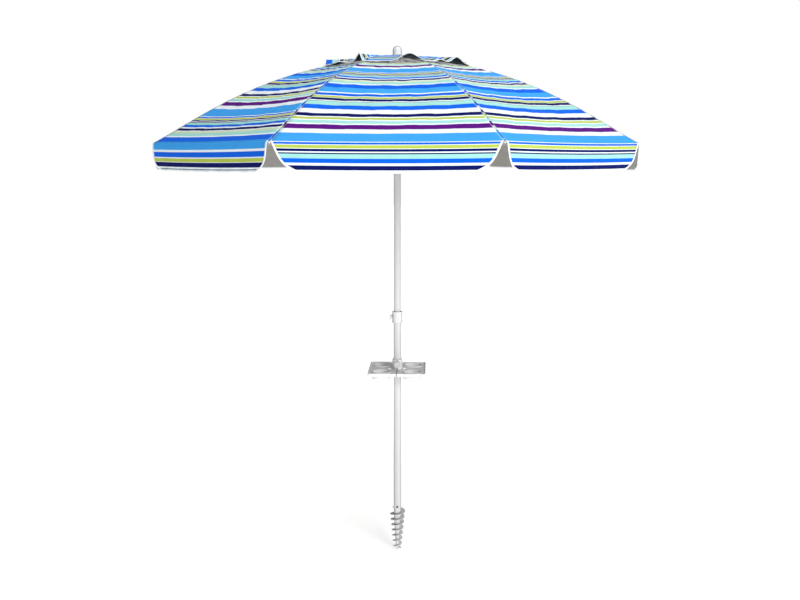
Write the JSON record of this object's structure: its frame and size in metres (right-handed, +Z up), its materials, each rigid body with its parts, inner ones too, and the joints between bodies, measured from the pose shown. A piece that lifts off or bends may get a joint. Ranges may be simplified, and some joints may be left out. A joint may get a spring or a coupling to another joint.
{
  "type": "beach umbrella",
  "caption": "Round striped beach umbrella with vent cap, scalloped valance, tilting telescopic pole, clamp-on drinks table and screw-in sand anchor.",
  "frame": {"origin": "on the pole's axis at the lower end of the lower pole, where the sand anchor's shoulder meets it and the sand surface lies", "axes": "+Z up the pole; -Y is the front, where a gore's middle and the table's knob face; the clamp lever is on -X"},
  "size_m": [1.7802, 1.7802, 2.113],
  "materials": {
    "powder_coat": "white powder coat, semi-gloss",
    "white_plastic": "moulded white plastic, satin",
    "steel": "zinc-plated steel",
    "rib_steel": "white painted steel rib",
    "button_plastic": "dark moulded plastic",
    "striped_fabric": "striped woven polyester, silver-grey coated underneath"
  },
  "bodies": {
    "pole": {"lower_pole": "powder_coat", "sand_anchor": "white_plastic", "clamp_collar": "white_plastic", "clamp_pin": "steel"},
    "anchor_button": {"anchor_button": "button_plastic"},
    "clamp_lever": {"clamp_lever": "white_plastic"},
    "table": {"table_left": "white_plastic", "table_right": "white_plastic"},
    "table_knob": {"table_knob": "white_plastic"},
    "upper_pole": {"upper_pole": "powder_coat", "tilt_lower_knuckle": "steel", "tilt_pin": "steel"},
    "tilt_button": {"tilt_button": "button_plastic"},
    "head": {"tilt_upper_knuckle": "steel", "head_tube": "powder_coat", "crown_hub": "white_plastic", "finial": "white_plastic", "vent_cap": "striped_fabric"},
    "runner": {"runner": "white_plastic"},
    "runner_button": {"runner_button": "button_plastic"},
    "rib_1": {"rib_1": "rib_steel"},
    "strut_1": {"strut_1": "rib_steel"},
    "gore_1": {"gore_1": "striped_fabric"},
    "valance_1_a": {"valance_1_a": "striped_fabric"},
    "valance_1_b": {"valance_1_b": "striped_fabric"},
    "rib_2": {"rib_2": "rib_steel"},
    "strut_2": {"strut_2": "rib_steel"},
    "gore_2": {"gore_2": "striped_fabric"},
    "valance_2_a": {"valance_2_a": "striped_fabric"},
    "valance_2_b": {"valance_2_b": "striped_fabric"},
    "rib_3": {"rib_3": "rib_steel"},
    "strut_3": {"strut_3": "rib_steel"},
    "gore_3": {"gore_3": "striped_fabric"},
    "valance_3_a": {"valance_3_a": "striped_fabric"},
    "valance_3_b": {"valance_3_b": "striped_fabric"},
    "rib_4": {"rib_4": "rib_steel"},
    "strut_4": {"strut_4": "rib_steel"},
    "gore_4": {"gore_4": "striped_fabric"},
    "valance_4_a": {"valance_4_a": "striped_fabric"},
    "valance_4_b": {"valance_4_b": "striped_fabric"},
    "rib_5": {"rib_5": "rib_steel"},
    "strut_5": {"strut_5": "rib_steel"},
    "gore_5": {"gore_5": "striped_fabric"},
    "valance_5_a": {"valance_5_a": "striped_fabric"},
    "valance_5_b": {"valance_5_b": "striped_fabric"},
    "rib_6": {"rib_6": "rib_steel"},
    "strut_6": {"strut_6": "rib_steel"},
    "gore_6": {"gore_6": "striped_fabric"},
    "valance_6_a": {"valance_6_a": "striped_fabric"},
    "valance_6_b": {"valance_6_b": "striped_fabric"},
    "rib_7": {"rib_7": "rib_steel"},
    "strut_7": {"strut_7": "rib_steel"},
    "gore_7": {"gore_7": "striped_fabric"},
    "valance_7_a": {"valance_7_a": "striped_fabric"},
    "valance_7_b": {"valance_7_b": "striped_fabric"},
    "rib_8": {"rib_8": "rib_steel"},
    "strut_8": {"strut_8": "rib_steel"},
    "gore_8": {"gore_8": "striped_fabric"},
    "valance_8_a": {"valance_8_a": "striped_fabric"},
    "valance_8_b": {"valance_8_b": "striped_fabric"}
  },
  "joints": [
    {"name": "anchor_button_press", "type": "slide", "parent": "pole", "child": "anchor_button", "axis": [0, 1, 0], "range_m": [0, 0.0025], "stiffness_N_per_m": 600},
    {"name": "clamp_lever_hinge", "type": "hinge", "parent": "pole", "child": "clamp_lever", "pos_m": [-0.026, 0, 0.83], "axis": [0, 1, 0], "range_deg": [0, 100]},
    {"name": "table_slide", "type": "slide", "parent": "pole", "child": "table", "axis": [0, 0, 1], "range_m": [-0.35, 0]},
    {"name": "table_knob_turn", "type": "hinge", "parent": "table", "child": "table_knob", "pos_m": [0, -0.032, 0.634], "axis": [0, 1, 0], "continuous": true},
    {"name": "pole_slide", "type": "slide", "parent": "pole", "child": "upper_pole", "axis": [0, 0, 1], "range_m": [-0.22, 0]},
    {"name": "tilt_button_press", "type": "slide", "parent": "upper_pole", "child": "tilt_button", "axis": [0, 1, 0], "range_m": [0, 0.0025], "stiffness_N_per_m": 600},
    {"name": "tilt_hinge", "type": "hinge", "parent": "upper_pole", "child": "head", "pos_m": [0, 0, 1.556], "axis": [1, 0, 0], "range_deg": [-35, 0]},
    {"name": "runner_slide", "type": "slide", "parent": "head", "child": "runner", "axis": [0, 0, -1], "range_m": [0, 0.42012]},
    {"name": "runner_button_press", "type": "slide", "parent": "runner", "child": "runner_button", "axis": [0, 1, 0], "range_m": [0, 0.0025], "stiffness_N_per_m": 600},
    {"name": "rib_1_hinge", "type": "hinge", "parent": "head", "child": "rib_1", "pos_m": [-0.00918, -0.02217, 1.87117], "axis": [0.9239, -0.3827, 0], "range_deg": [0, 69.31], "deforming": ["vent_cap"]},
    {"name": "strut_1_hinge", "type": "hinge", "parent": "rib_1", "child": "strut_1", "pos_m": [-0.12563, -0.3033, 1.81305], "axis": [-0.9239, 0.3827, 0], "range_deg": [0, 121.99]},
    {"name": "gore_1_fold", "type": "hinge", "parent": "rib_1", "child": "gore_1", "pos_m": [0, -0.29142, 2.04067], "axis": [0, 0.8428, -0.5382], "range_deg": [0, 50.28], "deforming": ["gore_1"]},
    {"name": "valance_1_hinge", "type": "hinge", "parent": "rib_1", "child": "valance_1_a", "pos_m": [0, -0.88692, 1.536], "axis": [-1, 0, 0], "range_deg": [0, 65.13], "deforming": ["valance_1_a"]},
    {"name": "valance_1_fold", "type": "hinge", "parent": "valance_1_a", "child": "valance_1_b", "pos_m": [0, -1.28832, 2.16461], "axis": [0, 0.8428, 0.5382], "range_deg": [0, 50.28], "deforming": ["valance_1_b"]},
    {"name": "rib_2_hinge", "type": "hinge", "parent": "head", "child": "rib_2", "pos_m": [0.00918, -0.02217, 1.87117], "axis": [0.9239, 0.3827, 0], "range_deg": [0, 69.31]},
    {"name": "strut_2_hinge", "type": "hinge", "parent": "rib_2", "child": "strut_2", "pos_m": [0.12563, -0.3033, 1.81305], "axis": [-0.9239, -0.3827, 0], "range_deg": [0, 121.99]},
    {"name": "gore_2_fold", "type": "hinge", "parent": "rib_2", "child": "gore_2", "pos_m": [0.20607, -0.20607, 2.04067], "axis": [-0.596, 0.596, -0.5382], "range_deg": [0, 50.28], "deforming": ["gore_2"]},
    {"name": "valance_2_hinge", "type": "hinge", "parent": "rib_2", "child": "valance_2_a", "pos_m": [0.62715, -0.62715, 1.536], "axis": [-0.7071, -0.7071, 0], "range_deg": [0, 65.13], "deforming": ["valance_2_a"]},
    {"name": "valance_2_fold", "type": "hinge", "parent": "valance_2_a", "child": "valance_2_b", "pos_m": [0.91098, -0.91098, 2.16461], "axis": [-0.596, 0.596, 0.5382], "range_deg": [0, 50.28], "deforming": ["valance_2_b"]},
    {"name": "rib_3_hinge", "type": "hinge", "parent": "head", "child": "rib_3", "pos_m": [0.02217, -0.00918, 1.87117], "axis": [0.3827, 0.9239, 0], "range_deg": [0, 69.31]},
    {"name": "strut_3_hinge", "type": "hinge", "parent": "rib_3", "child": "strut_3", "pos_m": [0.3033, -0.12563, 1.81305], "axis": [-0.3827, -0.9239, 0], "range_deg": [0, 121.99]},
    {"name": "gore_3_fold", "type": "hinge", "parent": "rib_3", "child": "gore_3", "pos_m": [0.29142, 0, 2.04067], "axis": [-0.8428, 0, -0.5382], "range_deg": [0, 50.28], "deforming": ["gore_3"]},
    {"name": "valance_3_hinge", "type": "hinge", "parent": "rib_3", "child": "valance_3_a", "pos_m": [0.88692, 0, 1.536], "axis": [0, -1, 0], "range_deg": [0, 65.13], "deforming": ["valance_3_a"]},
    {"name": "valance_3_fold", "type": "hinge", "parent": "valance_3_a", "child": "valance_3_b", "pos_m": [1.28832, 0, 2.16461], "axis": [-0.8428, 0, 0.5382], "range_deg": [0, 50.28], "deforming": ["valance_3_b"]},
    {"name": "rib_4_hinge", "type": "hinge", "parent": "head", "child": "rib_4", "pos_m": [0.02217, 0.00918, 1.87117], "axis": [-0.3827, 0.9239, 0], "range_deg": [0, 69.31]},
    {"name": "strut_4_hinge", "type": "hinge", "parent": "rib_4", "child": "strut_4", "pos_m": [0.3033, 0.12563, 1.81305], "axis": [0.3827, -0.9239, 0], "range_deg": [0, 121.99]},
    {"name": "gore_4_fold", "type": "hinge", "parent": "rib_4", "child": "gore_4", "pos_m": [0.20607, 0.20607, 2.04067], "axis": [-0.596, -0.596, -0.5382], "range_deg": [0, 50.28], "deforming": ["gore_4"]},
    {"name": "valance_4_hinge", "type": "hinge", "parent": "rib_4", "child": "valance_4_a", "pos_m": [0.62715, 0.62715, 1.536], "axis": [0.7071, -0.7071, 0], "range_deg": [0, 65.13], "deforming": ["valance_4_a"]},
    {"name": "valance_4_fold", "type": "hinge", "parent": "valance_4_a", "child": "valance_4_b", "pos_m": [0.91098, 0.91098, 2.16461], "axis": [-0.596, -0.596, 0.5382], "range_deg": [0, 50.28], "deforming": ["valance_4_b"]},
    {"name": "rib_5_hinge", "type": "hinge", "parent": "head", "child": "rib_5", "pos_m": [0.00918, 0.02217, 1.87117], "axis": [-0.9239, 0.3827, 0], "range_deg": [0, 69.31]},
    {"name": "strut_5_hinge", "type": "hinge", "parent": "rib_5", "child": "strut_5", "pos_m": [0.12563, 0.3033, 1.81305], "axis": [0.9239, -0.3827, 0], "range_deg": [0, 121.99]},
    {"name": "gore_5_fold", "type": "hinge", "parent": "rib_5", "child": "gore_5", "pos_m": [0, 0.29142, 2.04067], "axis": [0, -0.8428, -0.5382], "range_deg": [0, 50.28], "deforming": ["gore_5"]},
    {"name": "valance_5_hinge", "type": "hinge", "parent": "rib_5", "child": "valance_5_a", "pos_m": [0, 0.88692, 1.536], "axis": [1, 0, 0], "range_deg": [0, 65.13], "deforming": ["valance_5_a"]},
    {"name": "valance_5_fold", "type": "hinge", "parent": "valance_5_a", "child": "valance_5_b", "pos_m": [0, 1.28832, 2.16461], "axis": [0, -0.8428, 0.5382], "range_deg": [0, 50.28], "deforming": ["valance_5_b"]},
    {"name": "rib_6_hinge", "type": "hinge", "parent": "head", "child": "rib_6", "pos_m": [-0.00918, 0.02217, 1.87117], "axis": [-0.9239, -0.3827, 0], "range_deg": [0, 69.31]},
    {"name": "strut_6_hinge", "type": "hinge", "parent": "rib_6", "child": "strut_6", "pos_m": [-0.12563, 0.3033, 1.81305], "axis": [0.9239, 0.3827, 0], "range_deg": [0, 121.99]},
    {"name": "gore_6_fold", "type": "hinge", "parent": "rib_6", "child": "gore_6", "pos_m": [-0.20607, 0.20607, 2.04067], "axis": [0.596, -0.596, -0.5382], "range_deg": [0, 50.28], "deforming": ["gore_6"]},
    {"name": "valance_6_hinge", "type": "hinge", "parent": "rib_6", "child": "valance_6_a", "pos_m": [-0.62715, 0.62715, 1.536], "axis": [0.7071, 0.7071, 0], "range_deg": [0, 65.13], "deforming": ["valance_6_a"]},
    {"name": "valance_6_fold", "type": "hinge", "parent": "valance_6_a", "child": "valance_6_b", "pos_m": [-0.91098, 0.91098, 2.16461], "axis": [0.596, -0.596, 0.5382], "range_deg": [0, 50.28], "deforming": ["valance_6_b"]},
    {"name": "rib_7_hinge", "type": "hinge", "parent": "head", "child": "rib_7", "pos_m": [-0.02217, 0.00918, 1.87117], "axis": [-0.3827, -0.9239, 0], "range_deg": [0, 69.31]},
    {"name": "strut_7_hinge", "type": "hinge", "parent": "rib_7", "child": "strut_7", "pos_m": [-0.3033, 0.12563, 1.81305], "axis": [0.3827, 0.9239, 0], "range_deg": [0, 121.99]},
    {"name": "gore_7_fold", "type": "hinge", "parent": "rib_7", "child": "gore_7", "pos_m": [-0.29142, 0, 2.04067], "axis": [0.8428, 0, -0.5382], "range_deg": [0, 50.28], "deforming": ["gore_7"]},
    {"name": "valance_7_hinge", "type": "hinge", "parent": "rib_7", "child": "valance_7_a", "pos_m": [-0.88692, 0, 1.536], "axis": [0, 1, 0], "range_deg": [0, 65.13], "deforming": ["valance_7_a"]},
    {"name": "valance_7_fold", "type": "hinge", "parent": "valance_7_a", "child": "valance_7_b", "pos_m": [-1.28832, 0, 2.16461], "axis": [0.8428, 0, 0.5382], "range_deg": [0, 50.28], "deforming": ["valance_7_b"]},
    {"name": "rib_8_hinge", "type": "hinge", "parent": "head", "child": "rib_8", "pos_m": [-0.02217, -0.00918, 1.87117], "axis": [0.3827, -0.9239, 0], "range_deg": [0, 69.31]},
    {"name": "strut_8_hinge", "type": "hinge", "parent": "rib_8", "child": "strut_8", "pos_m": [-0.3033, -0.12563, 1.81305], "axis": [-0.3827, 0.9239, 0], "range_deg": [0, 121.99]},
    {"name": "gore_8_fold", "type": "hinge", "parent": "rib_8", "child": "gore_8", "pos_m": [-0.20607, -0.20607, 2.04067], "axis": [0.596, 0.596, -0.5382], "range_deg": [0, 50.28], "deforming": ["gore_8"]},
    {"name": "valance_8_hinge", "type": "hinge", "parent": "rib_8", "child": "valance_8_a", "pos_m": [-0.62715, -0.62715, 1.536], "axis": [-0.7071, 0.7071, 0], "range_deg": [0, 65.13], "deforming": ["valance_8_a"]},
    {"name": "valance_8_fold", "type": "hinge", "parent": "valance_8_a", "child": "valance_8_b", "pos_m": [-0.91098, -0.91098, 2.16461], "axis": [0.596, 0.596, 0.5382], "range_deg": [0, 50.28], "deforming": ["valance_8_b"]}
  ],
  "couplings": [
    {"joint": "rib_1_hinge", "follows": "runner_slide", "rad_per_m": 2.879},
    {"joint": "strut_1_hinge", "follows": "runner_slide", "rad_per_m": 5.0677},
    {"joint": "gore_1_fold", "follows": "runner_slide", "rad_per_m": 2.0883},
    {"joint": "valance_1_hinge", "follows": "runner_slide", "rad_per_m": 2.7053},
    {"joint": "valance_1_fold", "follows": "runner_slide", "rad_per_m": 2.0883},
    {"joint": "rib_2_hinge", "follows": "runner_slide", "rad_per_m": 2.879},
    {"joint": "strut_2_hinge", "follows": "runner_slide", "rad_per_m": 5.0677},
    {"joint": "gore_2_fold", "follows": "runner_slide", "rad_per_m": 2.0883},
    {"joint": "valance_2_hinge", "follows": "runner_slide", "rad_per_m": 2.7053},
    {"joint": "valance_2_fold", "follows": "runner_slide", "rad_per_m": 2.0883},
    {"joint": "rib_3_hinge", "follows": "runner_slide", "rad_per_m": 2.879},
    {"joint": "strut_3_hinge", "follows": "runner_slide", "rad_per_m": 5.0677},
    {"joint": "gore_3_fold", "follows": "runner_slide", "rad_per_m": 2.0883},
    {"joint": "valance_3_hinge", "follows": "runner_slide", "rad_per_m": 2.7053},
    {"joint": "valance_3_fold", "follows": "runner_slide", "rad_per_m": 2.0883},
    {"joint": "rib_4_hinge", "follows": "runner_slide", "rad_per_m": 2.879},
    {"joint": "strut_4_hinge", "follows": "runner_slide", "rad_per_m": 5.0677},
    {"joint": "gore_4_fold", "follows": "runner_slide", "rad_per_m": 2.0883},
    {"joint": "valance_4_hinge", "follows": "runner_slide", "rad_per_m": 2.7053},
    {"joint": "valance_4_fold", "follows": "runner_slide", "rad_per_m": 2.0883},
    {"joint": "rib_5_hinge", "follows": "runner_slide", "rad_per_m": 2.879},
    {"joint": "strut_5_hinge", "follows": "runner_slide", "rad_per_m": 5.0677},
    {"joint": "gore_5_fold", "follows": "runner_slide", "rad_per_m": 2.0883},
    {"joint": "valance_5_hinge", "follows": "runner_slide", "rad_per_m": 2.7053},
    {"joint": "valance_5_fold", "follows": "runner_slide", "rad_per_m": 2.0883},
    {"joint": "rib_6_hinge", "follows": "runner_slide", "rad_per_m": 2.879},
    {"joint": "strut_6_hinge", "follows": "runner_slide", "rad_per_m": 5.0677},
    {"joint": "gore_6_fold", "follows": "runner_slide", "rad_per_m": 2.0883},
    {"joint": "valance_6_hinge", "follows": "runner_slide", "rad_per_m": 2.7053},
    {"joint": "valance_6_fold", "follows": "runner_slide", "rad_per_m": 2.0883},
    {"joint": "rib_7_hinge", "follows": "runner_slide", "rad_per_m": 2.879},
    {"joint": "strut_7_hinge", "follows": "runner_slide", "rad_per_m": 5.0677},
    {"joint": "gore_7_fold", "follows": "runner_slide", "rad_per_m": 2.0883},
    {"joint": "valance_7_hinge", "follows": "runner_slide", "rad_per_m": 2.7053},
    {"joint": "valance_7_fold", "follows": "runner_slide", "rad_per_m": 2.0883},
    {"joint": "rib_8_hinge", "follows": "runner_slide", "rad_per_m": 2.879},
    {"joint": "strut_8_hinge", "follows": "runner_slide", "rad_per_m": 5.0677},
    {"joint": "gore_8_fold", "follows": "runner_slide", "rad_per_m": 2.0883},
    {"joint": "valance_8_hinge", "follows": "runner_slide", "rad_per_m": 2.7053},
    {"joint": "valance_8_fold", "follows": "runner_slide", "rad_per_m": 2.0883}
  ]
}
